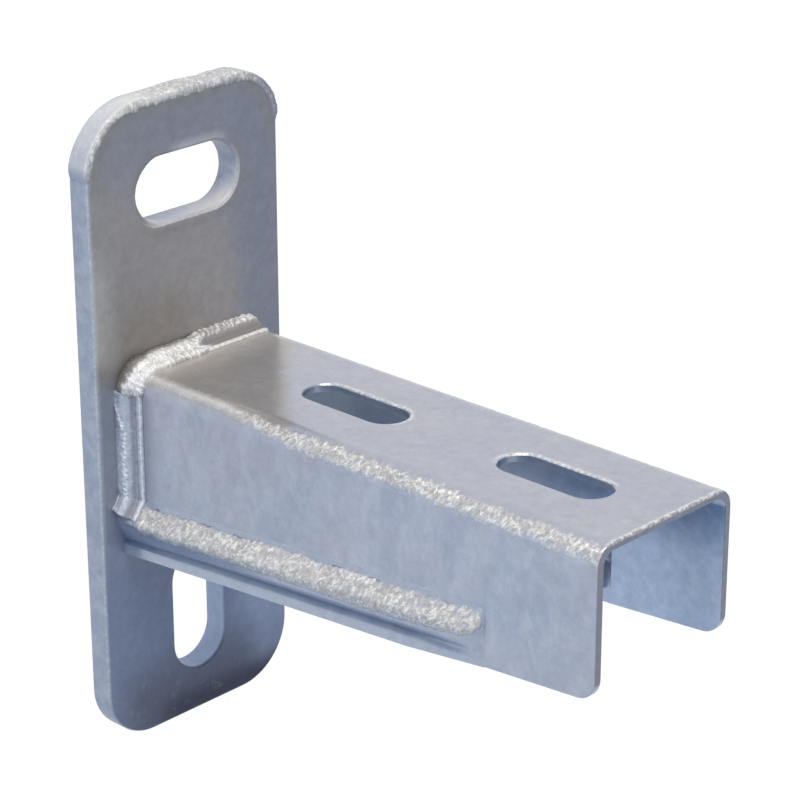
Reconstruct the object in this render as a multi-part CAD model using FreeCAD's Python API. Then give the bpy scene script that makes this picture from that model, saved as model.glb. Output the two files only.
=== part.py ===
import FreeCAD, Part
import math
import os

# Cantilever strut arm, hot dip galvanised steel, in millimetres.
# X runs out of the wall along the arm, Y runs to the right when facing the wall, Z is up.
# The origin is the middle of the wall plate's back face.

# Wall plate
plate_width = 50.0
plate_height = 135.0
plate_thickness = 6.0
corner_top_right = 11.0
corner_top_left = 15.0
corner_bottom_left = 11.5
corner_bottom_right = 13.0
plate_edge_round = 0.9

# Bolt slots in the wall plate, the upper one lying and the lower one standing
bolt_slot_width = 14.0
bolt_slot_length = 28.0
slot_rim_chamfer = 0.4
upper_slot_z = 48.5
lower_slot_z = -43.8

# Channel arm, folded from one sheet and open below
sheet = 1.5
arm_width = 37.0
arm_length = 121.5
bend_radius = 4.0
web_top_z = 14.5
flange_depth_at_plate = 39.5
flange_depth_at_tip = 29.5
tip_corner_radius = 4.5
sheet_edge_round = 0.3

# Slots in the top web
web_slot_width = 9.0
web_slot_length = 25.0
web_slot_pitch = 50.0
first_web_slot = 46.0
web_rim_chamfer = 0.25

# Stiffening rib pressed outwards along the lower part of each flange
rib_height = 12.2
rib_depth = 3.0
rib_nose_drop = 4.2
rib_nose_round = 0.9
rib_crease_drop = 9.4
rib_crease_depth = 0.4
rib_lip_rise = 0.7
rib_lip_depth = 1.3
rib_full_end = 95.5
rib_cap_length = 6.3
rib_cap_shape = ((0.0, 1.0), (0.4, 0.88), (0.72, 0.6), (0.92, 0.27), (1.0, 0.02))
lip_fade_length = 17.5

# Weld beads
bead_leg_arm = 5.7
bead_leg_plate = 2.4
bead_root = 0.6
side_bead_bottom = 12.3
side_bead_kink = 4.6
top_bead_end_angle = 22.0

front = plate_thickness
tip = front + arm_length
half_arm = arm_width / 2
bend_z = web_top_z - bend_radius
bend_y = half_arm - bend_radius
flange_bottom_at_plate = web_top_z - flange_depth_at_plate
flange_bottom_at_tip = web_top_z - flange_depth_at_tip
taper = (flange_bottom_at_tip - flange_bottom_at_plate) / arm_length
clear = 5.0
tiny = 0.01


def vec(x, y, z):
    return FreeCAD.Vector(x, y, z)


def line(a, b):
    return Part.LineSegment(a, b).toShape()


def arc(a, b, c):
    return Part.Arc(a, b, c).toShape()


def flange_bottom(x):
    return flange_bottom_at_plate + taper * (x - front)


def edges_where(shape, test):
    return [edge for edge in shape.Edges if test(edge)]


def lies_flat(edge):
    """Whether an edge lies in a plane square to X."""
    return edge.BoundBox.XLength < tiny


def corner(y, z, radius, start):
    """Arc of a plate corner, its centre at y and z, turning through a quarter from start."""
    points = []
    for turn in (0, 45, 90):
        angle = math.radians(start + turn)
        points.append(vec(0, y + radius * math.cos(angle), z + radius * math.sin(angle)))
    return arc(*points)


def plate_outline():
    """Closed outline of the wall plate in its back plane."""
    right = plate_width / 2
    top = plate_height / 2
    corners = [
        corner(right - corner_top_right, top - corner_top_right, corner_top_right, 0),
        corner(corner_top_left - right, top - corner_top_left, corner_top_left, 90),
        corner(corner_bottom_left - right, corner_bottom_left - top, corner_bottom_left, 180),
        corner(right - corner_bottom_right, corner_bottom_right - top, corner_bottom_right, 270),
    ]
    outline = []
    for this, following in zip(corners, corners[1:] + corners[:1]):
        outline.append(this)
        outline.append(line(this.Vertexes[1].Point, following.Vertexes[0].Point))
    return Part.Wire(outline)


def slot_tool(length, width, depth):
    """Cutter for a slot with round ends, lying along Y and running through along X."""
    straight = length - width
    tool = Part.makeBox(depth, straight, width, vec(0, -straight / 2, -width / 2))
    for side in (-1, 1):
        end = Part.makeCylinder(width / 2, depth, vec(0, side * straight / 2, 0), vec(1, 0, 0))
        tool = tool.fuse(end)
    return tool.removeSplitter()


def wall_plate():
    plate = Part.Face(plate_outline()).extrude(vec(plate_thickness, 0, 0))
    plate = plate.makeFillet(plate_edge_round, edges_where(plate, lies_flat))
    upper = slot_tool(bolt_slot_length, bolt_slot_width, plate_thickness + 2 * clear)
    lower = upper.copy()
    upper.translate(vec(-clear, 0, upper_slot_z))
    lower.rotate(vec(0, 0, 0), vec(1, 0, 0), 90)
    lower.translate(vec(-clear, 0, lower_slot_z))
    plate = plate.cut(upper).cut(lower)

    def slot_rim(edge):
        middle = edge.CenterOfMass
        gaps = [math.hypot(middle.y, middle.z - z) for z in (upper_slot_z, lower_slot_z)]
        return lies_flat(edge) and min(gaps) < bolt_slot_length / 2

    return plate.makeChamfer(slot_rim_chamfer, edges_where(plate, slot_rim))


def channel_skin(inset):
    """Solid with the outer shape of the folded channel, moved inwards by inset."""
    radius = bend_radius - inset
    side = half_arm - inset
    top = web_top_z - inset
    bottom = flange_bottom_at_plate - clear
    lean = radius * math.sqrt(0.5)
    wire = Part.Wire(
        [
            line(vec(front, -side, bottom), vec(front, -side, bend_z)),
            arc(
                vec(front, -side, bend_z),
                vec(front, -bend_y - lean, bend_z + lean),
                vec(front, -bend_y, top),
            ),
            line(vec(front, -bend_y, top), vec(front, bend_y, top)),
            arc(
                vec(front, bend_y, top),
                vec(front, bend_y + lean, bend_z + lean),
                vec(front, side, bend_z),
            ),
            line(vec(front, side, bend_z), vec(front, side, bottom)),
            line(vec(front, side, bottom), vec(front, -side, bottom)),
        ]
    )
    return Part.Face(wire).extrude(vec(arm_length, 0, 0))


def side_shape():
    """Side view of the arm as a prism across Y, tapered below and rounded at the tip."""
    points = [
        vec(front, -plate_width, web_top_z + clear),
        vec(tip, -plate_width, web_top_z + clear),
        vec(tip, -plate_width, flange_bottom_at_tip),
        vec(front, -plate_width, flange_bottom_at_plate),
    ]
    prism = Part.Face(Part.makePolygon(points + points[:1])).extrude(vec(0, 2 * plate_width, 0))

    def lower_tip(edge):
        middle = edge.BoundBox.Center
        return abs(middle.x - tip) < 0.01 and abs(middle.z - flange_bottom_at_tip) < 0.01

    return prism.makeFillet(tip_corner_radius, edges_where(prism, lower_tip))


def rib_section(x, amount, lip_amount):
    """Closed section of the pressed strip at x, the depths of rib and lip scaled by the amounts."""
    top = flange_bottom(x) + rib_height
    nose = amount * rib_depth
    lip = lip_amount * rib_lip_depth
    crease = lip_amount * rib_crease_depth
    profile = [
        (0.0, 0.0),
        (nose - amount * rib_nose_round / 2, rib_nose_drop - rib_nose_round),
        (nose, rib_nose_drop),
        (nose - amount * rib_nose_round / 3, rib_nose_drop + rib_nose_round),
        (crease, rib_crease_drop),
        (lip, rib_crease_drop + rib_lip_rise),
        (lip, rib_height),
    ]
    outer = [vec(x, -half_arm - depth, top - drop) for depth, drop in profile]
    inner = [point + vec(0, sheet, 0) for point in outer]
    edges = []
    for side in (outer, inner):
        edges.append(line(side[0], side[1]))
        edges.append(arc(side[1], side[2], side[3]))
        for corner_a, corner_b in zip(side[3:], side[4:]):
            edges.append(line(corner_a, corner_b))
    edges.append(line(outer[0], inner[0]))
    edges.append(line(outer[-1], inner[-1]))
    return Part.Wire(Part.sortEdges(edges)[0])


def pressed_strip():
    """Lower part of the left flange with the rib, blunt at its end, where the lip has run out."""
    end = rib_full_end + rib_cap_length
    fade_start = end - lip_fade_length
    length = fade_start - front
    body = Part.Face(rib_section(front, 1.0, 1.0)).extrude(vec(length, 0, taper * length))
    cap = []
    for along, amount in rib_cap_shape:
        x = rib_full_end + along * rib_cap_length
        cap.append(rib_section(x, amount, (end - x) / lip_fade_length))
    fading = Part.makeLoft([rib_section(fade_start, 1.0, 1.0), cap[0]], True, True)
    return body.fuse([fading, Part.makeLoft(cap, True, False)])


def rib_window():
    """Block across both flanges where the pressed strips take the place of the flat."""
    end = rib_full_end + rib_cap_length
    low = flange_bottom_at_plate - 2 * clear
    points = [
        vec(front - clear, -plate_width, flange_bottom(front - clear) + rib_height),
        vec(end, -plate_width, flange_bottom(end) + rib_height),
        vec(end, -plate_width, low),
        vec(front - clear, -plate_width, low),
    ]
    return Part.Face(Part.makePolygon(points + points[:1])).extrude(vec(0, 2 * plate_width, 0))


def folded_sheet():
    """The folded channel before pressing, its outer edge softened all round by the zinc."""
    shape = channel_skin(0.0).cut(channel_skin(sheet)).common(side_shape())

    def tip_edge(edge):
        middle = edge.CenterOfMass
        return abs(middle.x - tip) < tiny and abs(middle.z - web_top_z) < tiny

    return shape.makeFillet(sheet_edge_round, edges_where(shape, tip_edge))


def channel_arm():
    arm = folded_sheet().cut(rib_window())
    strip = pressed_strip()
    arm = arm.fuse([strip, strip.mirror(vec(0, 0, 0), vec(0, 1, 0))]).removeSplitter()
    slots = [front + first_web_slot + number * web_slot_pitch for number in (0, 1)]
    for place in slots:
        tool = slot_tool(web_slot_length, web_slot_width, 4 * sheet)
        tool.rotate(vec(0, 0, 0), vec(0, 1, 0), 90)
        tool.rotate(vec(0, 0, 0), vec(0, 0, 1), 90)
        tool.translate(vec(place, 0, web_top_z + 2 * sheet))
        arm = arm.cut(tool)

    def web_rim(edge):
        middle = edge.CenterOfMass
        gap = min(abs(middle.x - place) for place in slots)
        level = abs(middle.z - web_top_z) < tiny and edge.BoundBox.ZLength < tiny
        return level and gap < web_slot_length / 2 and abs(middle.y) < web_slot_width

    return arm.makeChamfer(web_rim_chamfer, edges_where(arm, web_rim))


def bead_section(outward, foot):
    """Closed bead section at foot, standing off the arm along outward, its root inside the arm."""
    profile = [(0.0, 1.0), (0.36, 0.97), (0.7, 0.24), (0.87, 0.28), (1.0, 0.0)]
    points = [
        foot + vec(along * bead_leg_arm, 0, 0) + outward * (height * bead_leg_plate)
        for along, height in profile
    ]
    deep = outward * bead_root
    return Part.Wire(
        [
            arc(points[0], points[1], points[2]),
            arc(points[2], points[3], points[4]),
            line(points[4], points[4] - deep),
            line(points[4] - deep, foot - deep),
            line(foot - deep, points[0]),
        ]
    )


def bead(outward, foot, run):
    return Part.Face(bead_section(outward, foot)).extrude(run)


def side_weld(arm):
    """Bead down the left flange, turning out along the top slope of the rib at its lower end."""
    outward = vec(0, -1, 0)
    bottom = -side_bead_bottom
    straight = bead(outward, vec(front, -half_arm, bottom), vec(0, 0, bend_z - bottom))
    slope = vec(0, -rib_depth, -rib_nose_drop)
    slope.normalize()
    across = vec(0, slope.z, -slope.y)
    kink = bead(across, vec(front, -half_arm, bottom), slope * side_bead_kink)
    return straight.fuse(kink).cut(arm).removeSplitter()


def top_weld(arm):
    """Bead across the web, wrapping the left bend and stopping just over the right one."""
    up = vec(0, 0, 1)
    start = vec(front, -bend_y, web_top_z)
    straight = bead(up, start, vec(0, 2 * bend_y, 0))
    left_face = Part.Face(bead_section(up, start))
    left = left_face.revolve(vec(front, -bend_y, bend_z), vec(1, 0, 0), 90)
    right_face = Part.Face(bead_section(up, vec(front, bend_y, web_top_z)))
    right = right_face.revolve(vec(front, bend_y, bend_z), vec(1, 0, 0), -top_bead_end_angle)
    return straight.fuse([left, right]).cut(arm).removeSplitter()


def build():
    os.makedirs("parts", exist_ok=True)
    arm = channel_arm()
    left = side_weld(arm)
    nodes = {
        "wall_plate": wall_plate(),
        "channel_arm": arm,
        "top_weld": top_weld(arm),
        "left_weld": left,
        "right_weld": left.mirror(vec(0, 0, 0), vec(0, 1, 0)),
    }
    for name, shape in nodes.items():
        box = shape.optimalBoundingBox()
        print(name, shape.isValid(), len(shape.Solids), round(shape.Volume, 1))
        print("   ", [round(v, 2) for v in (box.XMin, box.XMax, box.YMin, box.YMax, box.ZMin, box.ZMax)])
        shape.exportStep("parts/" + name + ".step")


build()
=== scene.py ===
# %% [markdown]
# # A galvanised cantilever arm
#
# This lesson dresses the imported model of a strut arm: a thick slotted wall plate, a folded channel
# arm and the weld beads that join them, all dipped in molten zinc. The solids give the sizes, and
# Blender adds what the zinc bath left behind: a cloudy skin, rough crusts and rippled beads.

import math

import bmesh
import bpy
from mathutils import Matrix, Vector, noise


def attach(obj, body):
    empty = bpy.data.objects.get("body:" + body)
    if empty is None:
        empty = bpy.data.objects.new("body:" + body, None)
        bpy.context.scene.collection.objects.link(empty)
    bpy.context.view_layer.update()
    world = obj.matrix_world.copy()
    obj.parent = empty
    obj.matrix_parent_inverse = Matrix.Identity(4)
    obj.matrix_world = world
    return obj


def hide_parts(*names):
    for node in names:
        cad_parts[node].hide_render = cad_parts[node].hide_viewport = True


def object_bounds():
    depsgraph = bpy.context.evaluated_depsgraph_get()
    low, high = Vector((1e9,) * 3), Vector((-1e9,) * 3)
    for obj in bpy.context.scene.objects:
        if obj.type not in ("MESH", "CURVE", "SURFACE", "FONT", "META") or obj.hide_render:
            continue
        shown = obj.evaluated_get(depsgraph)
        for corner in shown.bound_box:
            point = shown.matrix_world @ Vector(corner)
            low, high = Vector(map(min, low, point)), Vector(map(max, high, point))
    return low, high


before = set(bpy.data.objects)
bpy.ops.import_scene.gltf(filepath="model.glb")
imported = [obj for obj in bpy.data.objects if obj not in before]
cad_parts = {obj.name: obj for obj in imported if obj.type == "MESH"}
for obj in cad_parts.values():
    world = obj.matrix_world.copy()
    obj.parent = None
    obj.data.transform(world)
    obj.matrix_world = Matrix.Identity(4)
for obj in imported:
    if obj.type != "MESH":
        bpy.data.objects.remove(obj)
cad_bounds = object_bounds()
print("nodes:", sorted(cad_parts))
print("box of the solids:", cad_bounds)

# %% [markdown]
# The plate's back lies on x = 0, the arm reaches along x, and z is up. Three sizes are read from
# the box of the solids, and the others repeat the part's own. Lengths on the part stay in
# millimetres until a mesh or a material takes them. The lamps and the camera use metres.

# %% Sizes of the part
TIP, PLATE_SIDE, PLATE_TOP = (round(1000.0 * reach, 2) for reach in cad_bounds[1])
PLATE_FRONT = 6.0
CORNERS = {-1: 15.0, 1: 11.0}  # radii of the upper corners, by the sign of y
UPPER_SLOT = 48.5
LOWER_SLOT = -43.8
PLATE_SLOT_HALF_STRAIGHT = 7.0
PLATE_SLOT_RADIUS = 7.0

SHEET = 1.5
WEB_TOP = 14.5
WEB_UNDERSIDE = WEB_TOP - SHEET
FLANGE_OUTSIDE = 18.5
FLANGE_INSIDE = FLANGE_OUTSIDE - SHEET
FLANGE_LOW = -25.0
BEND_RADIUS = 4.0
BEND_Y = FLANGE_OUTSIDE - BEND_RADIUS
BEND_Z = WEB_TOP - BEND_RADIUS
TAPER = 10.0 / (TIP - PLATE_FRONT)
RIB_HEIGHT = 12.2
ARM_SLOTS_MIDDLE = 77.0
ARM_SLOTS_HALF_PITCH = 25.0
ARM_SLOT_HALF_STRAIGHT = 8.0
ARM_SLOT_RADIUS = 4.5
print("arm", TIP - PLATE_FRONT, "long, plate", 2.0 * PLATE_SIDE, "by", 2.0 * PLATE_TOP)

# %% [markdown]
# The camera comes first, since everything else is judged through it. Its place was worked out
# from the slots and outlines in the photograph. The long lens keeps the arm's edges nearly
# parallel, and depth of field stays off because the whole part is sharp.

# %% Camera
CAMERA_PLACE = (0.401643, -0.355784, 0.218065)
CAMERA_AIM = (0.061612, 0.002187, 0.017252)
CAMERA_ROLL = -0.00178
LENS_MM = 127.31


def aim(thing, place, target):
    """Puts a camera or a lamp at place and turns it to target."""
    thing.location = place
    thing.rotation_euler = (Vector(target) - Vector(place)).to_track_quat("-Z", "Y").to_euler()


camera_data = bpy.data.cameras.new("camera")
camera_data.lens = LENS_MM
camera_data.sensor_width = 36.0
camera_data.sensor_fit = "HORIZONTAL"
camera_data.clip_start = 0.01
camera_data.dof.use_dof = False
camera = bpy.data.objects.new("camera", camera_data)
bpy.context.collection.objects.link(camera)
aim(camera, CAMERA_PLACE, CAMERA_AIM)
camera.rotation_euler.rotate_axis("Z", CAMERA_ROLL)
bpy.context.scene.camera = camera
bpy.context.scene.view_settings.view_transform = "Standard"
print("camera", tuple(round(v, 4) for v in camera.location))

# %% [markdown]
# A material is a graph of nodes. Two small classes make such graphs readable. A Wire is one
# output of a node, and plain sums on wires add Math nodes, so a mask reads like arithmetic.

# %% Wires


class Wire:
    """One output socket. Sums on it add Math nodes."""

    def __init__(self, paint, socket):
        self.paint = paint
        self.socket = socket

    def also(self, name):
        """Another output of the same node."""
        return Wire(self.paint, self.socket.node.outputs[name])

    def maths(self, operation, *values):
        return self.paint.add("ShaderNodeMath", {"operation": operation}, dict(enumerate(values)))

    def __add__(self, other):
        return self.maths("ADD", self, other)

    def __sub__(self, other):
        return self.maths("SUBTRACT", self, other)

    def __rsub__(self, other):
        return self.maths("SUBTRACT", other, self)

    def __mul__(self, other):
        return self.maths("MULTIPLY", self, other)

    def __pow__(self, other):
        return self.maths("POWER", self, other)

    def __abs__(self):
        return self.maths("ABSOLUTE", self)

    def at_least(self, other):
        return self.maths("MAXIMUM", self, other)

    def at_most(self, other):
        return self.maths("MINIMUM", self, other)

    __radd__ = __add__
    __rmul__ = __mul__


# %% [markdown]
# A Paint holds the node tree of one material. Its method add makes any kind of node, and the
# others are the few patterns that every finish here needs: soft steps, clouds of noise, places
# in millimetres, and coats of tone laid over one another through masks.

# %% Paint
MIX_FIRST, MIX_SECOND, MIX_RESULT = 6, 7, 2  # a Mix node's sockets for colours


class Paint:
    """The node tree of one material or of the world."""

    def __init__(self, owner):
        owner.use_nodes = True
        self.owner = owner
        self.tree = owner.node_tree
        self.tree.nodes.clear()

    def add(self, kind, settings=None, sockets=None, output=0):
        """A node with its settings made first, then its sockets. Gives a wire from its output."""
        node = self.tree.nodes.new(kind)
        for name, value in (settings or {}).items():
            if name == "stops":
                ramp = node.color_ramp.elements
                while len(ramp) < len(value):
                    ramp.new(1.0)
                for element, (position, color) in zip(ramp, value):
                    element.position = position
                    element.color = color
            else:
                setattr(node, name, value)
        for name, value in (sockets or {}).items():
            if isinstance(value, Wire):
                self.tree.links.new(value.socket, node.inputs[name])
            else:
                node.inputs[name].default_value = value
        return Wire(self, node.outputs[output]) if node.outputs else node

    def mix(self, amount, first, second):
        """Colour between first and second."""
        sockets = {"Factor": amount, MIX_FIRST: first, MIX_SECOND: second}
        return self.add("ShaderNodeMix", {"data_type": "RGBA"}, sockets, output=MIX_RESULT)

    def coats(self, color, *coats):
        """Colour with coats laid over it in turn, each one a mask and a tone."""
        for mask, tone in coats:
            color = self.mix(mask, color, tone)
        return color

    def shaded(self, color, shade):
        """Colour times a plain number."""
        grey = self.add("ShaderNodeCombineColor", None, {0: shade, 1: shade, 2: shade})
        settings = {"data_type": "RGBA", "blend_type": "MULTIPLY"}
        sockets = {"Factor": 1.0, MIX_FIRST: color, MIX_SECOND: grey}
        return self.add("ShaderNodeMix", settings, sockets, output=MIX_RESULT)

    def fade(self, value, start, end):
        """0 before start, 1 past end, with a soft step between. Start may be past end."""
        sockets = {0: value, 1: start, 2: end, 3: 0.0, 4: 1.0}
        return self.add("ShaderNodeMapRange", {"interpolation_type": "SMOOTHSTEP"}, sockets)

    def near(self, value, middle, reach):
        """1 at the middle, 0 beyond its reach."""
        return self.fade(abs(value - middle), reach, 0.0)

    def place(self, stretch=(1.0, 1.0, 1.0)):
        """Object coordinates in millimetres, stretched along the axes."""
        where = self.add("ShaderNodeTexCoord", output="Object")
        scale = tuple(1000.0 * s for s in stretch)
        return self.add("ShaderNodeMapping", None, {"Vector": where, "Scale": scale})

    def axes(self):
        """Object coordinates in millimetres, as three numbers."""
        along = self.add("ShaderNodeSeparateXYZ", None, {0: self.place()})
        return along, along.also("Y"), along.also("Z")

    def slot_gap(self, along, across, half_straight, radius):
        """Distance in millimetres from the wall of a slot with round ends."""
        past = (abs(along) - half_straight).at_least(0.0)
        return (past * past + across * across) ** 0.5 - radius

    def clouds(self, where, size, detail=3.0, rough=0.55, twist=0.0):
        """Noise with blobs about size millimetres across."""
        sockets = {"Vector": where, "Scale": 1.0 / size, "Detail": detail, "Roughness": rough}
        return self.add("ShaderNodeTexNoise", None, {**sockets, "Distortion": twist})


def rgb(red, green, blue):
    return (red, green, blue, 1.0)


# %% [markdown]
# The photograph shows the part alone on white, so the world looks white to the camera, to
# reflections and to glass. To all other rays it is a dim blue sky that fills the shadows.

# %% World
WHITE = rgb(1.0, 1.0, 1.0)
SKY_BLUE = rgb(0.46, 0.68, 1.0)
SKY_STRENGTH = 0.46


def seen_directly(paint):
    """1 for rays that come from the camera, a mirror or glass."""
    path = paint.add("ShaderNodeLightPath", output="Is Camera Ray")
    return path.at_least(path.also("Is Glossy Ray")).at_least(path.also("Is Transmission Ray"))


world = bpy.data.worlds.new("studio")
bpy.context.scene.world = world
sky = Paint(world)
dim = sky.add("ShaderNodeBackground", None, {"Color": SKY_BLUE, "Strength": SKY_STRENGTH})
white = sky.add("ShaderNodeBackground", None, {"Color": WHITE, "Strength": 1.0})
sky_mix = sky.add("ShaderNodeMixShader", None, {0: seen_directly(sky), 1: dim, 2: white})
sky.add("ShaderNodeOutputWorld", None, {"Surface": sky_mix})
print("world:", world.name)

# %% [markdown]
# A floor lies well below the arm, because the real one hangs on a wall. A share of what the
# camera sees of it is plain glow, so that it melts into the white, and the rest takes light and
# throws a cool glow back up on the flanges.

# %% Floor
FLOOR_Z = -0.32
FLOOR_RADIUS = 6.0
FLOOR_COLOR = rgb(0.55, 0.60, 0.66)
FLOOR_GLOW = 1.15
FLOOR_GLOW_SHARE = 0.84
FAR_GLOW = 0.09
FAR_START, FAR_END = 350.0, 1500.0


def floor_material():
    paint = Paint(bpy.data.materials.new("pale_floor"))
    matt = paint.add("ShaderNodeBsdfDiffuse", None, {"Color": FLOOR_COLOR})
    length = {"operation": "LENGTH"}
    away = paint.add("ShaderNodeVectorMath", length, {0: paint.place()}, output="Value")
    strength = FLOOR_GLOW + paint.fade(away, FAR_START, FAR_END) * FAR_GLOW
    glow = paint.add("ShaderNodeEmission", None, {"Color": WHITE, "Strength": strength})
    share = seen_directly(paint) * FLOOR_GLOW_SHARE
    surface = paint.add("ShaderNodeMixShader", None, {0: share, 1: matt, 2: glow})
    paint.add("ShaderNodeOutputMaterial", None, {"Surface": surface})
    return paint.owner


floor_mesh = bpy.data.meshes.new("floor")
disk = bmesh.new()
bmesh.ops.create_circle(disk, cap_ends=True, radius=FLOOR_RADIUS, segments=64)
bmesh.ops.translate(disk, verts=disk.verts, vec=(0.0, 0.0, FLOOR_Z))
disk.to_mesh(floor_mesh)
disk.free()
floor = bpy.data.objects.new("floor", floor_mesh)
bpy.context.collection.objects.link(floor)
floor_mesh.materials.append(floor_material())
print("floor at", FLOOR_Z)

# %% [markdown]
# Two round lamps do the lighting, as in a small studio: a warm one above, which makes the web
# and the beads bright, and a weaker cool one by the arm's left side, which turns the flange blue.

# %% Lamps
LAMP_AIM = (0.05, 0.0, 0.0)


def disk_lamp(name, place, size, watts, color):
    """Round lamp that shines at the arm."""
    lamp_data = bpy.data.lights.new(name, "AREA")
    lamp_data.shape = "DISK"
    lamp_data.size = size
    lamp_data.energy = watts
    lamp_data.color = color
    lamp = bpy.data.objects.new(name, lamp_data)
    bpy.context.collection.objects.link(lamp)
    aim(lamp, place, LAMP_AIM)
    print("lamp:", name)


disk_lamp("overhead_lamp", (0.27, -0.20, 0.93), size=0.50, watts=6.6, color=(1.0, 0.93, 0.86))
disk_lamp("side_lamp", (-0.05, -0.95, 0.12), size=0.70, watts=1.2, color=(0.55, 0.78, 1.0))

# %% [markdown]
# Thick steel cools slowly in the bath, so the plate is duller and greyer than the sheet. Its tones
# are partly painted reflection: warm grey by the weld, cool above and to the right and navy at its
# foot, where a painted dark reflection grows nearly black along the lowest edge. Each mask is a
# sum on Object coordinates in millimetres, so its tone stays on its own part of the steel, and a
# slow noise lets the borders drift.

# %% Tones of the wall plate
CREAM = rgb(0.74, 0.70, 0.63)
MEAN_CORNER = 13.0


def plate_color(paint, where):
    """Tones of the plate's front, from the weld to the foot, partly painted reflection."""
    x, y, z = paint.axes()
    fade = paint.fade
    drift = (paint.clouds(where, 17.0, 3.0, 0.55) - 0.5) * 24.0
    above = fade(z + y * 0.5 + drift, 34.0, 60.0)
    warm = fade(y + drift * 0.5, 17.0, 7.0) * (1.0 - above * 0.8)
    brown = fade(z + drift * 0.4, 33.0, 20.0) * fade(y, 5.0, -6.0) * fade(z, -24.0, -8.0)
    pale = fade(y, -17.0, -25.0) * fade(z, 13.0, 20.0) * fade(z, 46.0, 30.0)
    beside_bead = fade(y, -17.5, -20.0) * fade(z, 15.0, 9.0)
    low = fade(z + drift * 0.3, -4.0, -36.0)
    foot = paint.mix(fade(y, 5.0, 18.0), rgb(0.225, 0.26, 0.365), rgb(0.42, 0.47, 0.62))
    # Painted dark reflection: darker towards the foot, and a nearly black painted edge along the
    # lowest rim.
    painted_dark_reflection = fade(z, -46.0, -61.0) * fade(y, -27.0, -15.0) * (1.0 - fade(y, 10.0, 20.0) * 0.55)
    painted_black_edge = fade(z, -59.5, -65.5) * fade(y, -17.0, -5.0)
    color = paint.coats(
        rgb(0.285, 0.29, 0.34),
        (warm, rgb(0.385, 0.352, 0.335)),
        (brown, rgb(0.355, 0.31, 0.27)),
        (pale * 0.9, rgb(0.57, 0.54, 0.50)),
        (beside_bead * 0.9, rgb(0.345, 0.365, 0.42)),
        (low, foot),
        # the painted dark reflection, then its nearly black painted edge
        (painted_dark_reflection * 0.92, rgb(0.11, 0.12, 0.172)),
        (painted_black_edge * 0.95, rgb(0.012, 0.018, 0.055)),
    )
    return plate_rims(paint, color, (x, y, z), where)


def plate_rims(paint, color, axes, where):
    """Painted shade and light near the upper slot and top edge, then edge faces, slot walls and
    painted rim glints.
    """
    x, y, z = axes
    fade = paint.fade
    dots = fade(paint.clouds(where, 0.8, 3.0, 0.65), 0.44, 0.60)
    mottle = fade(paint.clouds(where, 4.5, 4.0, 0.6, 0.8), 0.36, 0.66)
    upper = paint.slot_gap(y, z - UPPER_SLOT, PLATE_SLOT_HALF_STRAIGHT, PLATE_SLOT_RADIUS)
    lower = paint.slot_gap(z - LOWER_SLOT, y, PLATE_SLOT_HALF_STRAIGHT, PLATE_SLOT_RADIUS)
    across = (abs(y) - (PLATE_SIDE - MEAN_CORNER)).at_least(0.0)
    above = (z - (PLATE_TOP - MEAN_CORNER)).at_least(0.0)
    depth = MEAN_CORNER - (across * across + above * above) ** 0.5
    below = fade(z - y * 0.6, 51.0, 45.0)
    # A painted light band above the upper slot, and an olive painted shade under the top edge and
    # below and right of the slot.
    painted_halo = fade(upper, 2.6, 0.4) * fade(z, 53.5, 55.3) * fade(abs(y - 3.5), 9.5, 4.0)
    under_edge_shade = paint.near(depth, 1.9, 2.1) * fade(z, 50.0, 56.0) * 1.5
    painted_olive_shade = (under_edge_shade + paint.near(upper, 1.7, 1.2) * below).at_most(1.0)
    cream_wall = fade(upper, 0.3, 0.1) * fade(z, 46.0, 42.5) * fade(y, -3.0, 8.0)
    edge_tone = paint.coats(
        rgb(0.455, 0.47, 0.535),
        (mottle, rgb(0.56, 0.555, 0.595)),
        (fade(lower, 1.0, 0.3), rgb(0.55, 0.60, 0.72)),
        (cream_wall * 0.6, CREAM),
    )
    # Painted highlights along the front left edge and the rim of the upper slot.
    side_rim = fade(abs(y) + x, PLATE_SIDE + 4.9, PLATE_SIDE + 5.3) * fade(z, 60.0, 50.0)
    side_rim = side_rim * fade(x, PLATE_FRONT - 0.15, PLATE_FRONT - 0.55)
    slot_rim = fade(upper, 0.6, 0.3) * fade(x, PLATE_FRONT - 0.7, PLATE_FRONT - 0.3) * below
    painted_glint = side_rim * (0.12 + dots * 0.55) + slot_rim * (0.45 + dots * 0.2)
    return paint.coats(
        color,
        (painted_halo * 0.9, rgb(0.57, 0.54, 0.54)),
        (painted_olive_shade * 0.6, rgb(0.31, 0.285, 0.25)),
        (fade(x, PLATE_FRONT - 0.1, PLATE_FRONT - 0.7), edge_tone),
        (painted_glint.at_most(1.0), CREAM),
    )


# %% [markdown]
# The thin sheet keeps a brighter skin: steel blue clouds on the flanges, their blue partly
# painted cool light, and a paler one on the web. Near the plate a painted reflection of the plate
# lies warm on the web, and beside the weld a strip of flange has turned lilac.

# %% Tones of the folded sheet


def flank_tone(paint, x, hue, patch, drift):
    """Clouds on the flanges, a little darker towards the plate, with the lilac strip."""
    # The flanges' blue is partly painted cool light.
    clouded_blue = paint.coats(
        rgb(0.44, 0.475, 0.565),
        (hue, rgb(0.495, 0.495, 0.56)),
        (patch * 0.72, rgb(0.57, 0.59, 0.65)),
    )
    strip = paint.fade(x + drift * 0.3, 16.5, 13.5)
    flank = paint.shaded(clouded_blue, 1.0 - paint.fade(x, 78.0, 40.0) * 0.09)
    return paint.mix(strip * 0.8, flank, rgb(0.42, 0.415, 0.475))


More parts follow.
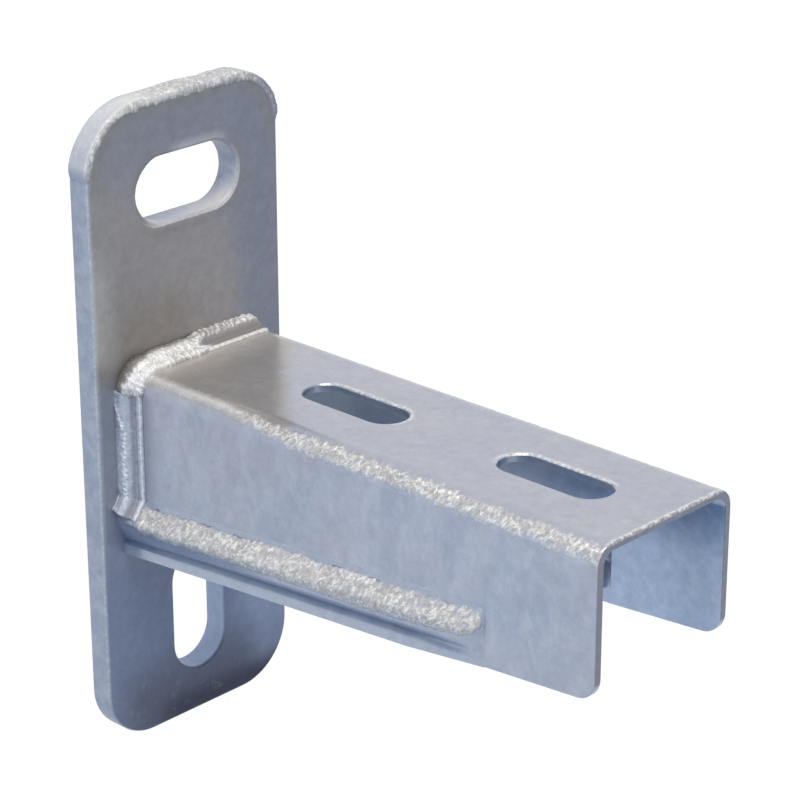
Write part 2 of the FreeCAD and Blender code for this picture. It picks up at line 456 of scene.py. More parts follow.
def web_tone(paint, x, y, hue, patch, drift):
    """Clouds on the web, and a painted warm reflection of the plate that ends on a slant."""
    # A painted reflection of the plate: lighter by the weld toe, warm and dark further out, ending
    # on a slant.
    plate_reflection = paint.mix(paint.fade(x, 12.0, 22.0), rgb(0.60, 0.55, 0.48), rgb(0.41, 0.375, 0.335))
    return paint.coats(
        rgb(0.42, 0.43, 0.485),
        (hue, rgb(0.45, 0.445, 0.48)),
        (patch * 0.4, rgb(0.50, 0.50, 0.53)),
        (paint.fade(x + y + drift * 0.9, 36.0, 30.5), plate_reflection),
    )


def sheet_color(paint, where):
    """Tones of the whole sheet, from its flanges and web to its ribs, inside and rims."""
    x, y, z = paint.axes()
    hue = paint.fade(paint.clouds(where, 15.0, 3.0, 0.6, 0.8), 0.36, 0.64)
    tall = paint.place((1.0, 1.0, 0.6))
    patch = paint.fade(paint.clouds(tall, 5.0, 6.0, 0.72, 0.5), 0.38, 0.66)
    drift = (paint.clouds(where, 9.0, 3.0, 0.6) - 0.5) * 9.0
    flank = flank_tone(paint, x, hue, patch, drift)
    web = web_tone(paint, x, y, hue, patch, drift)
    color = paint.mix(paint.fade(z, WEB_TOP - 3.0, WEB_TOP - 0.3), flank, web)
    color = rib_tones(paint, color, x, z, drift)
    inside = paint.fade(abs(y), FLANGE_INSIDE + 0.6, FLANGE_INSIDE + 0.2)
    inside = inside * paint.fade(z, WEB_UNDERSIDE + 0.4, WEB_UNDERSIDE)
    color = paint.mix(inside, color, inside_tone(paint, x, z, where))
    return sheet_rims(paint, color, (x, y, z), where)


# %% [markdown]
# The rib follows the flange's taper, so its tones are placed by the drop below its upper line:
# a seam of painted shade under the crust, a painted shade that dulls a highlight on the blunt
# end, a darker folded-in side, a dark crease line of painted shade and the lip below it.

# %% Tones of the ribs


def rib_top(x):
    """Height of the rib's upper line at x, for plain numbers and for wires."""
    return (x - PLATE_FRONT) * TAPER + (FLANGE_LOW + RIB_HEIGHT)


def rib_tones(paint, color, x, z, drift):
    """The sheet's colour with the tones of the ribs over it, painted shade among them."""
    fade = paint.fade
    drop = rib_top(x) - z + drift * 0.12
    before_end = fade(x, 103.0, 96.0)
    # Painted shade: a darker seam on the bare slope, a dulled highlight on the blunt end, a dark
    # crease line.
    seam_shade = fade(drop, -0.1, 0.1) * fade(drop, 2.2, 1.4) * fade(x, 101.8, 101.0)
    blunt_end_shade = paint.near(x, 101.2, 2.0) * fade(drop, -0.2, 0.3) * fade(drop, 7.0, 5.0)
    under = fade(drop, 4.6, 5.8) * before_end
    lip = fade(drop, 10.2, 11.0) * before_end
    crease_shade = paint.near(drop, 9.4 + fade(x, 80.0, 96.0) * 0.7, 1.0) * fade(x, 100.0, 94.0)
    return paint.coats(
        color,
        (seam_shade, rgb(0.395, 0.43, 0.51)),
        (blunt_end_shade * 0.6, rgb(0.35, 0.385, 0.47)),
        (under * 0.85, rgb(0.48, 0.51, 0.60)),
        (lip * 0.6, rgb(0.55, 0.575, 0.64)),
        (crease_shade * 0.75, rgb(0.22, 0.27, 0.37)),
    )


# %% [markdown]
# The lamps reach little of the channel's inside, yet in the photograph light that bounces to and
# fro makes it bright. So the skin there is painted paler the deeper it lies, as painted bounce
# light. The web's slot rims and its end get a cream painted highlight, and the slot walls and the
# cut end a painted shade.

# %% Tones inside the channel and on its rims


def inside_tone(paint, x, z, where):
    """Clouds on the inside with painted bounce light, a bluish grey at the mouth and nearly white
    deep in.
    """
    cloud = paint.fade(paint.clouds(where, 3.5, 6.0, 0.72, 0.2), 0.34, 0.68)
    light = paint.fade(x, 122.0, 111.0) * paint.fade(z, 6.0, -4.0)
    amount = light * 0.55 + cloud * 0.45
    mouth = paint.mix(amount, rgb(0.375, 0.465, 0.60), rgb(0.57, 0.675, 0.87))
    deep = paint.mix(paint.fade(x, 39.0, 29.0), rgb(0.66, 0.69, 0.77), rgb(0.88, 0.95, 1.0))
    return paint.mix(paint.fade(x, 96.0, 72.0), mouth, deep)


def sheet_rims(paint, color, axes, where):
    """Painted shade on the web's slot walls and the sheet's cut end, and a painted highlight on the
    rims.
    """
    x, y, z = axes
    fade = paint.fade
    dots = fade(paint.clouds(where, 0.7, 3.0, 0.7), 0.46, 0.58)
    along = abs(x - ARM_SLOTS_MIDDLE) - ARM_SLOTS_HALF_PITCH
    gap = paint.slot_gap(along, y, ARM_SLOT_HALF_STRAIGHT, ARM_SLOT_RADIUS)
    # Painted shade on the slot walls and the cut end; a painted cream highlight on the far slot rims
    # and the end's top edge.
    wall_shade = fade(gap, 0.25, 0.1) * fade(z, WEB_UNDERSIDE, WEB_UNDERSIDE + 0.1)
    cut = fade(x, TIP - 0.25, TIP - 0.05)
    rim_highlight = fade(gap, 1.4, 0.3) * fade(y - along * 0.3, -1.0, 3.0)
    rim_highlight = rim_highlight * fade(z, WEB_TOP - 0.5, WEB_TOP - 0.2)
    end = fade(x, TIP - 0.9, TIP - 0.5) * fade(z, WEB_TOP - 0.8, WEB_TOP - 0.2)
    return paint.coats(
        color,
        (wall_shade * 0.85, rgb(0.32, 0.355, 0.43)),
        (cut * 0.85, rgb(0.215, 0.215, 0.255)),
        ((rim_highlight + end).at_most(1.0) * (0.25 + dots * 0.75), rgb(0.84, 0.81, 0.76)),
    )


# %% [markdown]
# Hot dip zinc is a satin skin. Light and dark clouds drift over its tones, a fine frost breaks
# them up, faint streaks show which way it ran, and tiny pits catch the light. Both skins are the
# same recipe, and a row of settings makes the plate's duller than the sheet's.

# %% Zinc skin
SKIN_RELIEF = 0.03
SKINS = {
    "plate": {
        "color": plate_color,
        "frost": rgb(0.46, 0.46, 0.47),
        "stretch": (0.5, 0.10, 0.8),
        "streaks": 0.08,
        "blotch": 0.45,
        "metal": 0.2,
        "rough": 0.42,
    },
    "sheet": {
        "color": sheet_color,
        "frost": rgb(0.68, 0.69, 0.73),
        "stretch": (0.35, 0.35, 0.12),
        "streaks": 0.14,
        "blotch": 0.32,
        "metal": 0.4,
        "rough": 0.16,
    },
}


def clouded(paint, skin):
    """Colour, roughness and height of the plain skin."""
    where = paint.place()
    frost = paint.fade(paint.clouds(where, 3.2, 6.0, 0.72, 0.6), 0.54, 0.74)
    streaks = paint.clouds(paint.place(skin["stretch"]), 1.0, 3.0, 0.6)
    blotch = paint.clouds(where, 2.2, 4.0, 0.62, 0.5)
    grain = paint.clouds(where, 0.45, 3.0, 0.6)
    color = paint.mix(frost * 0.22, skin["color"](paint, where), skin["frost"])
    shade = (streaks - 0.5) * skin["streaks"] + (blotch - 0.5) * skin["blotch"]
    color = paint.shaded(color, 1.0 + (shade + (grain - 0.5) * 0.18))
    rough = skin["rough"] + streaks * 0.06 + grain * 0.08
    height = grain * 0.45 + streaks * 0.15 + blotch * 0.4
    return color, rough, height


def metal_surface(paint, color, metal, rough, height, depth):
    """Metal surface whose height is depth millimetres deep."""
    relief = {"Strength": 1.0, "Distance": depth / 1000.0, "Height": height}
    normal = paint.add("ShaderNodeBump", None, relief)
    sockets = {"Base Color": color, "Metallic": metal, "Roughness": rough, "Normal": normal}
    surface = paint.add("ShaderNodeBsdfPrincipled", None, sockets)
    paint.add("ShaderNodeOutputMaterial", None, {"Surface": surface})
    return paint.owner


def zinc_skin(kind):
    """Material of a plain dipped face."""
    paint = Paint(bpy.data.materials.new(kind + "_zinc"))
    color, rough, height = clouded(paint, SKINS[kind])
    return metal_surface(paint, color, SKINS[kind]["metal"], rough, height, SKIN_RELIEF)


for node, kind in {"wall_plate": "plate", "channel_arm": "sheet"}.items():
    skin = zinc_skin(kind)
    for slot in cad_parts[node].material_slots:
        slot.material = skin
    print(skin.name, "on", node)

# %% [markdown]
# Where the zinc drained slowly or the steel was worked hard, the coat froze into a rough crust.
# Its material knows from an attribute on the mesh how much crust is at a place, and the same
# attribute carries painted highlight and painted shade. At 0 it is the plain skin, so a crust has
# no border. Up to 1 it turns to cream flakes, partly painted highlight, above 1 it is glazed and
# brighter, and below 0 it is a painted dark line of shadow. On two stretches the flakes give way
# to a calm glaze: on the plate's top edge face the real crust froze smooth, and on the bend
# beside the plate the glaze is a painted smooth highlight.

# %% Crust material
CRUST_AND_LIGHT = "crust"
CRUST_RELIEF = 0.12
PAINTED_SHADOW_LINE = rgb(0.17, 0.175, 0.20)


def calm_bend_highlight(paint, x, y, z):
    """The sheet's bend beside the plate, where the calm glaze is a painted smooth highlight."""
    return paint.fade(x, 42.0, 33.0) * paint.fade(z, 6.0, 9.0) * 0.6


def calm_edge(paint, x, y, z):
    """The left half of the plate's top edge face."""
    return paint.fade(y, -2.0, -13.0) * paint.fade(x, PLATE_FRONT - 0.2, PLATE_FRONT - 0.7) * 0.6


def crust_zinc(kind, bright, dull, calm_part, lean):
    """Rough zinc over the plain skin, with fibres that lean along the arm."""
    paint = Paint(bpy.data.materials.new(kind + "_crust_zinc"))
    color, rough, height = clouded(paint, SKINS[kind])
    amount = paint.add("ShaderNodeAttribute", {"attribute_name": CRUST_AND_LIGHT}, output="Fac")
    x, y, z = paint.axes()
    fibres = paint.add("ShaderNodeCombineXYZ", None, {0: x - z * lean, 1: y, 2: z * 0.5})
    flakes = paint.fade(paint.clouds(fibres, 0.65, 4.0, 0.7, 0.6), 0.38, 0.62)
    smears = paint.fade(paint.clouds(paint.place(), 1.9, 3.0, 0.6, 1.0), 0.36, 0.58)
    # Glaze above 1 and the calm glaze by the bend lift the flakes to cream as painted highlight;
    # below 0 is painted shadow.
    glaze_and_highlight = (amount - 1.0).at_least(calm_part(paint, x, y, z))
    amount = amount.at_most(1.0)
    cream = paint.mix((flakes * (0.3 + smears * 0.7)).at_least(glaze_and_highlight), dull, bright)
    color = paint.coats(
        color,
        (paint.fade(amount, 0.1, 0.9), cream),
        (paint.fade(amount, -0.1, -0.6), PAINTED_SHADOW_LINE),
    )
    rough = rough + amount.at_least(0.0) * (0.26 - flakes * 0.14)
    relief = amount * (1.0 - glaze_and_highlight) * (paint.clouds(fibres, 0.5, 4.0, 0.65) + flakes * 0.3)
    height = height * 0.15 + relief
    return metal_surface(paint, color, SKINS[kind]["metal"], rough, height, CRUST_RELIEF)


sheet_crust = crust_zinc(
    "sheet", rgb(0.98, 0.92, 0.84), rgb(0.46, 0.435, 0.42), calm_bend_highlight, lean=0.6
)
plate_crust = crust_zinc(
    "plate", rgb(0.95, 0.91, 0.84), rgb(0.48, 0.45, 0.42), calm_edge, lean=0.0
)
print("crust materials:", sheet_crust.name, plate_crust.name)

# %% [markdown]
# Each crust starts as a copy of the solid below it, trimmed to its neighbourhood and remeshed
# into small even faces. A noise then lifts it through the plain skin where the real crust shows
# and keeps it sunk elsewhere, so its edge comes out as ragged as the real one.

# %% Tools for crusts
SUNK = -0.14
BORDER_RISE = 0.17
CRUST_FACES = 0.26
MERGE_METRES = 2e-6
CUT_METRES = 1e-7


def clamp(value, low, high):
    return min(max(value, low), high)


def smooth(value, start, end):
    """0 at start, 1 at end, with a soft step between. Start may be past end."""
    part = clamp((value - start) / (end - start), 0.0, 1.0)
    return part * part * (3.0 - 2.0 * part)


def hill(value, middle, reach):
    """1 at the middle, falling off on both sides."""
    return math.exp(-(((value - middle) / reach) ** 2))


def risen(here, body):
    """Height of a crust that comes through the skin at its faint edge and then grows by body."""
    return SUNK + BORDER_RISE * smooth(here, 0.0, 0.2) + here * body


# %% [markdown]
# A solid's own mesh is loose triangles and stays as it is, so a crust works on a merged copy.
# A voxel remesh closes the copy and gives it faces of one size, as fine as the grains that are
# to come. What a piece's vertices do next is left to one function per crust.

# %% Copies of the solids


def trimmed_copy(node, planes):
    """Closed mesh of a node's solid, cut down to what lies behind each plane."""
    shape = bmesh.new()
    shape.from_mesh(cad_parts[node].data)
    bmesh.ops.remove_doubles(shape, verts=shape.verts, dist=MERGE_METRES)
    for point, outward in planes:
        every = shape.verts[:] + shape.edges[:] + shape.faces[:]
        cut = bmesh.ops.bisect_plane(
            shape,
            geom=every,
            dist=CUT_METRES,
            plane_co=Vector(point) / 1000.0,
            plane_no=outward,
            clear_outer=True,
        )
        rim = [part for part in cut["geom_cut"] if isinstance(part, bmesh.types.BMEdge)]
        bmesh.ops.triangle_fill(shape, use_beauty=True, edges=rim)
    bmesh.ops.recalc_face_normals(shape, faces=shape.faces)
    mesh = bpy.data.meshes.new(node + "_copy")
    shape.to_mesh(mesh)
    shape.free()
    return mesh


def even_faces(mesh, name, size):
    """Object with the same shape as mesh in even faces of size millimetres."""
    piece = bpy.data.objects.new(name, mesh)
    bpy.context.collection.objects.link(piece)
    remesh = piece.modifiers.new("remesh", "REMESH")
    remesh.mode = "VOXEL"
    remesh.voxel_size = size / 1000.0
    remesh.use_smooth_shade = True
    evaluated = piece.evaluated_get(bpy.context.evaluated_depsgraph_get())
    fine = bpy.data.meshes.new_from_object(evaluated)
    piece.modifiers.clear()
    piece.data = fine
    fine.name = name
    return piece


def lift(piece, rise):
    """Moves each vertex along its normal by rise, which also gives its share of crust and painted
    light.
    """
    mesh = piece.data
    shades = mesh.attributes.new(CRUST_AND_LIGHT, "FLOAT", "POINT")
    normals = [vertex.normal.copy() for vertex in mesh.vertices]
    for vertex, normal, shade in zip(mesh.vertices, normals, shades.data):
        height, brightness = rise(vertex.co * 1000.0, normal)
        vertex.co = vertex.co + normal * (height / 1000.0)
        shade.value = brightness
    mesh.update()


def finished(piece, material):
    """Gives a piece its material and lets it ride on the part."""
    piece.data.materials.clear()
    piece.data.materials.append(material)
    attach(piece, "root")
    print(piece.name, len(piece.data.polygons), "faces")


# %% [markdown]
# The rib is pressed out of the flange like a shed roof: a wide slope above and a folded-in lower
# side. The slope faced up as the arm came out of the bath, so zinc pooled and froze on it in
# grains and slanting ripples. Its line follows the flange's taper, and in places a thin dark line
# of painted shadow runs along its upper border.

# %% Crust on the ribs
RIB_SLOPE_END = 5.8
RIB_BLUNT_END = 101.5
RIB_CUT_ABOVE = 1.2
RIB_CUT_BELOW = -7.8
RIB_CUT_END = 103.4


def rib_gouge(spot, down):
    """Depth of the slanting ripples, torn into short lengths and deeper towards the tip."""
    wave = math.sin((spot.x + 0.75 * down) * 1.45 + 5.0 * noise.noise(spot * 0.11))
    torn = smooth(noise.noise(Vector((spot.x * 0.16, spot.z, 3.0))), -0.15, 0.25)
    return max(0.0, wave - 0.5) * smooth(spot.x, 45.0, 70.0) * torn * 0.16


def rib_rise(side):
    """Rise of the crust on one rib, where side is -1 on the left and 1 on the right."""

    def rise(place, normal):
        down = rib_top(place.x) - place.z
        spot = Vector((place.x, down, side))
        ragged = noise.noise(spot * 0.9) * 0.9 + noise.noise(spot * 0.25) * 0.7
        border = down + ragged * 0.5
        low = RIB_SLOPE_END + 0.7 * hill(place.x, 72.0, 16.0)
        slope = smooth(border, 0.5, 1.5) * smooth(border, low + 1.3, low - 1.1)
        blunt = RIB_BLUNT_END - 0.25 * abs(down - 2.8) ** 2.2 + ragged * 0.5
        ends = smooth(place.x, 10.0, 13.0) * smooth(place.x, blunt + 0.5, blunt - 0.4)
        outside = normal.y * side
        facing = smooth(max(outside, normal.x), 0.15, 0.4) * (outside > -0.1)
        here = slope * (ends * facing)
        grain = noise.noise(spot * 1.1) * 0.13 + noise.noise(spot * 2.6) * 0.08
        patch = noise.noise(spot * 0.3 + Vector((0.0, 4.0, 0.0)))
        gouge = rib_gouge(spot, down)
        shade = 0.78 + grain * 2.0 + patch * 0.5 - gouge * 4.5
        shade += 0.15 * smooth(place.x, 90.0, 98.0)
        shade += 0.36 * hill(place.x, 50.0, 28.0)
        shade = here * clamp(shade, 0.0, 1.3)
        # A thin dark line of painted shadow along the crust's upper border.
        thin = smooth(noise.noise(Vector((place.x * 0.22, side * 2.0, 9.0))), 0.05, 0.2)
        shadow_line = smooth(abs(border - 0.85), 0.26, 0.06) * thin * ends * facing * 0.5
        if shadow_line > shade:
            return risen(1.0, -0.03), -shadow_line
        return risen(here, 0.08 + grain - gouge), shade

    return rise


for name, side in (("left_rib_crust", -1.0), ("right_rib_crust", 1.0)):
    slant = Vector((-TAPER, 0.0, 1.0))
    line = rib_top(PLATE_FRONT)
    planes = (
        ((0.0, side * (FLANGE_OUTSIDE - 1.0), 0.0), (0.0, -side, 0.0)),
        ((PLATE_FRONT, 0.0, line + RIB_CUT_ABOVE), slant),
        ((PLATE_FRONT, 0.0, line + RIB_CUT_BELOW), -slant),
        ((RIB_CUT_END, 0.0, 0.0), (1.0, 0.0, 0.0)),
    )
    rib = even_faces(trimmed_copy("channel_arm", planes), name, CRUST_FACES)
    lift(rib, rib_rise(side))
    finished(rib, sheet_crust)

# %% [markdown]
# The top bends were stretched by folding, and zinc bites harder into stretched steel. The band
# of crust runs along the lower half of each bend, smooth near the plate and rougher towards the
# tip. Its brightness is partly a painted highlight, and near the plate wholly so. Its place on the
# bend is an angle, 0 degrees on the flange and 90 on the web.

# %% Crust on the bends
BEND_CUT_Y = 12.0
BEND_CUT_Z = 8.8
BEND_CUT_START = 10.5
RIGHT_BEND_SHARE = 0.45


def bend_ragged(place, turn, side):
    """How far the band's border strays, in degrees."""
    spot = Vector((place.x, turn * 0.07, side * 5.0))
    ragged = noise.noise(spot * 0.8) * 14.0
    ragged += noise.noise(Vector((place.x * 0.2, side, 0.0))) * 8.0
    spikes = max(0.0, noise.noise(Vector((place.x * 1.3, turn * 0.01, side)))) * 9.0
    return ragged + spikes * smooth(turn, 30.0, 50.0)


def bend_rise(side):
    """Rise of the crust on one top bend, where side is -1 on the left and 1 on the right."""

    def rise(place, normal):
        turn = math.degrees(math.atan2(place.z - BEND_Z, abs(place.y) - BEND_Y))
        spot = Vector((place.x, turn * 0.07, side * 5.0))
        rough = smooth(place.x, 33.0, 46.0)
        middle = 56.0 - 20.0 * smooth(place.x, 30.0, 52.0)
        reach = 9.0 + 5.0 * rough + 7.0 * smooth(place.x, 45.0, 58.0)
        soft = 23.0 - 5.0 * rough
        off = abs(turn - middle - bend_ragged(place, turn, side) * (0.25 + 0.75 * rough))
        here = smooth(off, reach + soft, reach - soft)
        here *= smooth(place.x, 10.8, 11.6) * smooth(place.x, TIP + 0.2, TIP - 0.4)
        here *= smooth(normal.y * side + normal.z, 0.5, 0.8)
        here *= 1.0 if side < 0.0 else RIGHT_BEND_SHARE
        grain = noise.noise(spot * 1.2) * 0.20 + noise.noise(spot * 2.7) * 0.12
        # The band's brightness is crust and painted highlight together; near the plate it is all
        # painted highlight.
        shade = clamp(0.98 + grain * 2.2, 0.0, 1.3) * (1.0 - 0.10 * smooth(place.x, 92.0, 108.0))
        return risen(here, 0.04 + grain * 0.5 * rough), here * (shade * rough + 1.0 - rough)

    return rise


for name, side in (("left_bend_crust", -1.0), ("right_bend_crust", 1.0)):
    planes = (
        ((0.0, side * BEND_CUT_Y, 0.0), (0.0, -side, 0.0)),
        ((0.0, 0.0, BEND_CUT_Z), (0.0, 0.0, -1.0)),
        ((BEND_CUT_START, 0.0, 0.0), (-1.0, 0.0, 0.0)),
    )
    bend = even_faces(trimmed_copy("channel_arm", planes), name, CRUST_FACES)
    lift(bend, bend_rise(side))
    finished(bend, sheet_crust)

# %% [markdown]
# The plate hung with its top edge up in the bath, and the last zinc froze along it: a cream
# ridge over the whole edge with a swelling in the middle, a nick beside it and a second
# swelling. The same piece lines the upper slot with a thin coat, thickest at its left end. Its
# brightness is partly painted: a painted highlight along the crest and on the top face left of
# the middle, and painted shade at the right end.

# %% Crust on the plate's top edge
EDGE_CUT_Z = 38.0
LEFT_LOWEST, RIGHT_LOWEST = 53.0, 55.0
EDGE_FACES = 0.30
BEHIND_BACK = 0.02


def inside_edge(y, z):
    """Distance in millimetres from the plate's outline, measured inwards near its top."""
    radius = CORNERS[1 if y > 0 else -1]
    across = abs(y) - (PLATE_SIDE - radius)
    up = z - (PLATE_TOP - radius)
    if across > 0 and up > 0:
        return radius - math.hypot(across, up)
    return min(PLATE_SIDE - abs(y), PLATE_TOP - z)


def edge_body(place, normal, left, grain, crest):
    """Height of the ridge: grains, a crest, the swellings on top and a bulge at the corners."""
    front = smooth(normal.x, 0.6, 0.9)
    swell = 0.34 * hill(place.y, 1.0, 5.5) + 0.24 * hill(place.y, 12.6, 4.2)
    nick = 0.26 * hill(place.y, 8.1, 0.7)
    body = 0.08 - 0.06 * front + grain * (1.0 - 0.4 * front) * (1.0 - 0.6 * left) + 0.04 * crest
    body += max(normal.z, 0.0) * (swell - nick)
    return body + 0.65 * abs(normal.y) * smooth(abs(normal.x), 0.9, 0.4)


def edge_glow(place, left, calm, grain, crest):
    """Brightness of the ridge: a painted highlight along its crest and left of the middle, painted
    shade at its right end.
    """
    glow = 0.60 - 0.12 * calm + 0.35 * crest + 0.8 * crest * left + grain * 2.2
    glow -= 0.55 * smooth(place.y, 16.0, 21.0)
    glow += 0.65 * hill(place.y, -6.0, 7.5) * smooth(place.x, 1.0, 3.0)
    return clamp(glow, 0.15, 1.6)


def slot_lining(place, normal):
    """Height of the thin coat on the walls of the upper slot."""
    past = max(abs(place.y) - PLATE_SLOT_HALF_STRAIGHT, 0.0)
    gap = math.hypot(past, place.z - UPPER_SLOT) - PLATE_SLOT_RADIUS
    thick = 0.35 + 0.65 * smooth(place.y, -6.0, -13.0)
    return smooth(gap, 1.2, 0.3) * smooth(abs(normal.x), 0.9, 0.3) * thick


def edge_rise(place, normal):
    """Rise of the crust on the top edge and of the lining in the upper slot."""
    depth = inside_edge(place.y, place.z)
    left = smooth(place.y, -12.0, -20.0)
    ragged = noise.noise(place * 0.5) * 0.5 + noise.noise(place * 1.4) * 0.4
    ragged *= 1.0 - 0.7 * left
    reach = 1.3 - 0.9 * left
    lowest = LEFT_LOWEST if place.y < 0 else RIGHT_LOWEST
    here = smooth(depth + ragged, reach + 0.7, reach - 0.4)
    here *= smooth(place.z + ragged * 2.0, lowest, lowest + 3.5)
    crest = smooth(abs(depth - reach + 0.6), 0.9, 0.2) * smooth(place.x, 5.0, 5.7)
    calm = smooth(place.x, 5.6, 4.8) * smooth(place.y, 4.0, -10.0)
    grain = noise.noise(place * 1.2) * 0.12 + noise.noise(place * 2.8) * 0.08
    grain *= 1.0 - 0.8 * calm
    height = risen(here, edge_body(place, normal, left, grain, crest))
    height += slot_lining(place, normal)
    if normal.x < 0.0:  # nothing stands out behind the plate's back
        height = min(height, -place.x / normal.x - BEHIND_BACK)
    return height, here * edge_glow(place, left, calm, grain, crest)


planes = (((0.0, 0.0, EDGE_CUT_Z), (0.0, 0.0, -1.0)),)
edge = even_faces(trimmed_copy("wall_plate", planes), "top_edge_crust", EDGE_FACES)
lift(edge, edge_rise)
finished(edge, plate_crust)

# %% [markdown]
# A weld bead is a row of small frozen puddles. Its zinc takes its colour from a ramp that the
# mesh's attribute reads, from a dark valley at 0 to white sparkle at 1, so the ramp lays painted
# shade in the valleys and painted highlight on the sparkle. The top bead is warm, the side beads
# are cooler, tints partly painted from the warm lamp above and the cool lamp at the side, and
# fine flakes roughen both.

# %% Weld material
WELD_METAL = 0.25
WELD_RELIEF = 0.16
WARM_STOPS = (
    (0.0, rgb(0.27, 0.245, 0.225)),
    (0.35, rgb(0.39, 0.37, 0.36)),
    (0.7, rgb(0.62, 0.59, 0.55)),
    (1.0, rgb(0.97, 0.94, 0.89)),
)
COOL_STOPS = (
    (0.0, rgb(0.27, 0.26, 0.275)),
    (0.4, rgb(0.485, 0.49, 0.555)),
    (0.75, rgb(0.655, 0.67, 0.715)),
    (1.0, rgb(0.95, 0.93, 0.90)),
)


def weld_zinc(name, stops):
    """Zinc over a bead, its colour read from the stops by the skin's attribute."""
    paint = Paint(bpy.data.materials.new(name))
    where = paint.place()
    amount = paint.add("ShaderNodeAttribute", {"attribute_name": CRUST_AND_LIGHT}, output="Fac")
    flakes = paint.fade(paint.clouds(where, 0.7, 4.0, 0.7, 0.8), 0.38, 0.64)
    level = amount + (flakes - 0.5) * (amount * 0.34)
    color = paint.add("ShaderNodeValToRGB", {"stops": stops}, {0: level})
    rough = 0.50 - amount * 0.16 + flakes * 0.05
    height = (paint.clouds(where, 0.5, 4.0, 0.65) + flakes * 0.3) * amount.at_least(0.2)
    return metal_surface(paint, color, WELD_METAL, rough, height, WELD_RELIEF)


warm_weld = weld_zinc("warm_weld_zinc", WARM_STOPS)
cool_weld = weld_zinc("cool_weld_zinc", COOL_STOPS)
print("weld materials:", warm_weld.name, cool_weld.name)

# %% [markdown]
# Each bead's skin is the solid bead remeshed fine, swollen a hair so that it bites into the
# plate and the arm, and rippled along its run. Seen from the plate outwards, a side bead has one
# sparkling line, a dark valley and a thin bright toe on the flange, shaped in the mesh, with
# painted highlight on the line and the toe and painted shade in the valley.

# %% Shape of the side beads
BEAD_FACES = 0.19
BITE = 0.06
VALLEY = 3.9


def bead_noise(along, out, seed):
    """Grain, ripple and lumps of a bead at a place along it."""
    spot = Vector((along, out, seed))
    grain = noise.noise(spot * 1.5) * 0.18 + noise.noise(spot * 3.4) * 0.13
    ripple = math.sin((along + 0.5 * out + 1.6 * noise.noise(spot * 0.35)) * 4.2)
    lump = noise.noise(Vector((along * 0.35, seed, 0.0))) * 0.25
    return grain, ripple, lump


def side_rise(place, normal):
    """Rise of a side bead's skin, and its brightness with painted highlight and painted shade."""
    out = place.x - PLATE_FRONT
    grain, ripple, lump = bead_noise(place.z, out, seed=7.0)
    line = 2.2 - 2.4 * smooth(place.z, 1.0, 11.0)
    tail = smooth(place.z, -10.5, -13.0)
    sparkle = hill(out, line, 0.5) * smooth(place.z, -13.0, -11.0)
    valley = hill(out, VALLEY, 0.45 + 0.25 * smooth(place.z, -8.0, -12.0))
    toe = hill(out, 5.3, 0.17)
    height = BITE + sparkle * (0.10 + grain + 0.04 * ripple) - 0.25 * valley + 0.10 * toe
    height += 0.5 * lump * smooth(out, 3.6, 2.4)
    height -= 0.5 * smooth(out, 2.2, 0.6) * (1.3 * tail + 0.3 * smooth(place.z, 7.0, 9.5))
    outside = math.copysign(normal.y, normal.y * place.y)
    buried = smooth(-min(normal.x, outside), 0.85, 0.97)
    height += (BITE - height) * buried
    # Painted highlight on the sparkling line and the toe; painted shade in the valley and on the
    # tail's lit facet.
    shade = 0.56 + sparkle * (0.30 + grain * 2.4) - 0.40 * valley + 0.50 * toe + grain * 0.9
    shade += 0.14 * smooth(out, 3.0, 2.0) * smooth(place.z, 4.0, -2.0)
    shade -= 0.30 * smooth(out, line, line - 1.2) * smooth(place.z, -2.0, 4.0)
    shade -= 0.10 * tail * smooth(out, 3.6, 2.4)
    return height, clamp(shade, 0.0, 1.0)


# %% [markdown]
# The top bead changes halfway. Left of the middle it is one broad grainy band that turns down
# round the bend, and right of it a ridge, a valley and a toe line lie side by side. Both are
# worked out everywhere, and a ragged step picks one. Their brightness is partly painted:
# highlight on the toe line and a white blob at the corner, and shade in the valley and on the
# wrap at the corner, under its overhang.

# %% Shape of the top bead


def broad_band(out, grain, lump, corner):
    """Height and brightness of the left part."""
    height = 0.12 + 0.50 * hill(out, VALLEY, 1.1) - 0.62 * smooth(out, 2.8, 0.6) + 1.1 * grain
    height += 0.5 * lump
    height += 0.32 * smooth(out, 4.6, 5.4)
    shade = 0.26 + smooth(out, 0.9, 2.7) * (0.74 + grain * 2.1)
    shade -= 0.35 * smooth(out, 5.3, 5.7) * (1.0 - corner)
    return height, shade


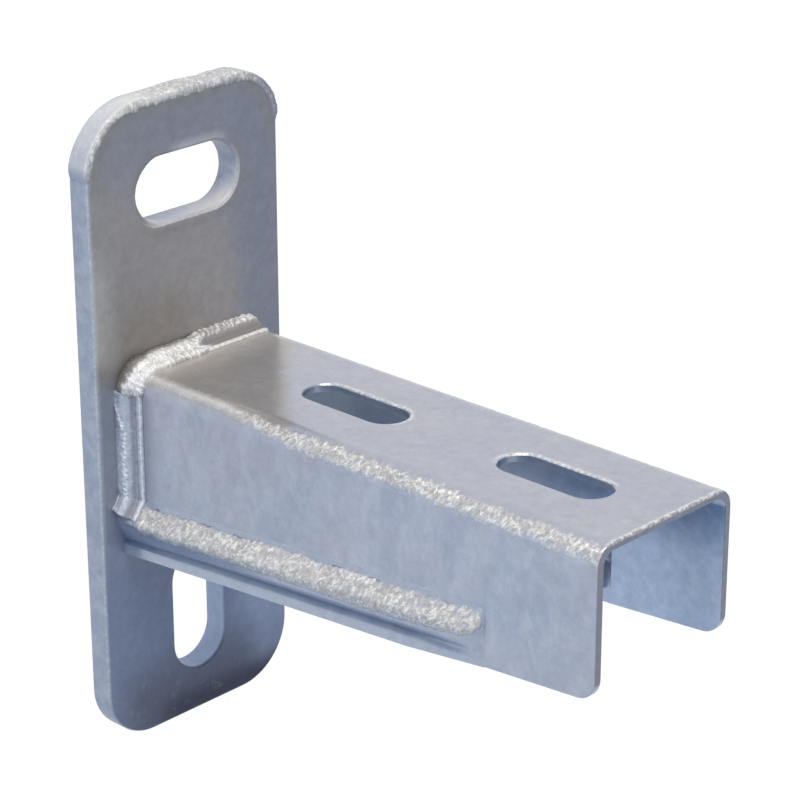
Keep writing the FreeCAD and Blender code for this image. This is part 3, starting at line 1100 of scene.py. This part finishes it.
def split_band(along, out, grain, ripple, lump):
    """Height and brightness of the right part."""
    height = 0.10 + (0.05 * ripple + grain + lump) * smooth(out, 3.4, 2.6)
    height -= 0.34 * hill(out, VALLEY, 0.9)
    height += 0.05 * smooth(out, 4.8, 5.2)
    height -= 0.9 * smooth(along, 15.4, 17.2) * smooth(out, 3.6, 2.4)
    dash = max(0.0, ripple) * 0.5 + grain * 1.6
    shade = 0.24 + smooth(out, 3.1, 2.2) * (0.22 + dash) - 0.22 * hill(out, VALLEY, 0.9)
    shade += 0.62 * smooth(out, 4.9, 5.2)
    shade += 0.35 * smooth(along, 9.0, 14.0) * smooth(out, 3.0, 2.0)
    return height, shade


def top_rise(place, normal):
    """Rise and brightness of the top bead's skin."""
    turn = 0.0
    if place.y < -BEND_Y:
        turn = math.degrees(math.atan2(-BEND_Y - place.y, max(place.z - BEND_Z, 0.01)))
    along = place.y - turn * 0.07
    out = place.x - PLATE_FRONT
    grain, ripple, lump = bead_noise(along, out, seed=3.0)
    corner = smooth(along, -12.0, -15.0) * smooth(turn, 82.0, 62.0)
    broad, broad_shade = broad_band(out, grain, lump, corner)
    split, split_shade = split_band(along, out, grain, ripple, lump)
    stray = 3.0 * noise.noise(Vector((out * 0.7, 1.0, along * 0.2)))
    left = smooth(along + stray, 2.2, -1.8)
    height = left * broad + (1.0 - left) * split - 0.35 * corner * smooth(out, 3.6, 2.0)
    shade = left * broad_shade + (1.0 - left) * split_shade
    # Painted highlight on the white blob at the corner and by the bend; painted shade where the bead
    # wraps down and under its overhang.
    white = corner * smooth(out, 2.2, 3.6)
    white += hill(along, -13.5, 1.6) * smooth(out, 2.0, 3.4) * (turn < 1.0)
    shade += white * 0.75
    shade -= smooth(turn, 74.0, 86.0) * smooth(out, 4.4, 3.4) * 0.5
    shade -= corner * smooth(out, 4.2, 2.6) * 0.7
    return height, clamp(shade, 0.0, 1.0)


# %% [markdown]
# The three beads are made alike. Each skin takes the place of its solid bead in the picture,
# so that no smooth bead shows through the ripples.

# %% Weld beads
BEADS = {
    "top_weld": (top_rise, warm_weld),
    "left_weld": (side_rise, cool_weld),
    "right_weld": (side_rise, cool_weld),
}
for node, (rise, skin) in BEADS.items():
    bead = even_faces(trimmed_copy(node, ()), node + "_bead", BEAD_FACES)
    lift(bead, rise)
    finished(bead, skin)
    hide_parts(node)
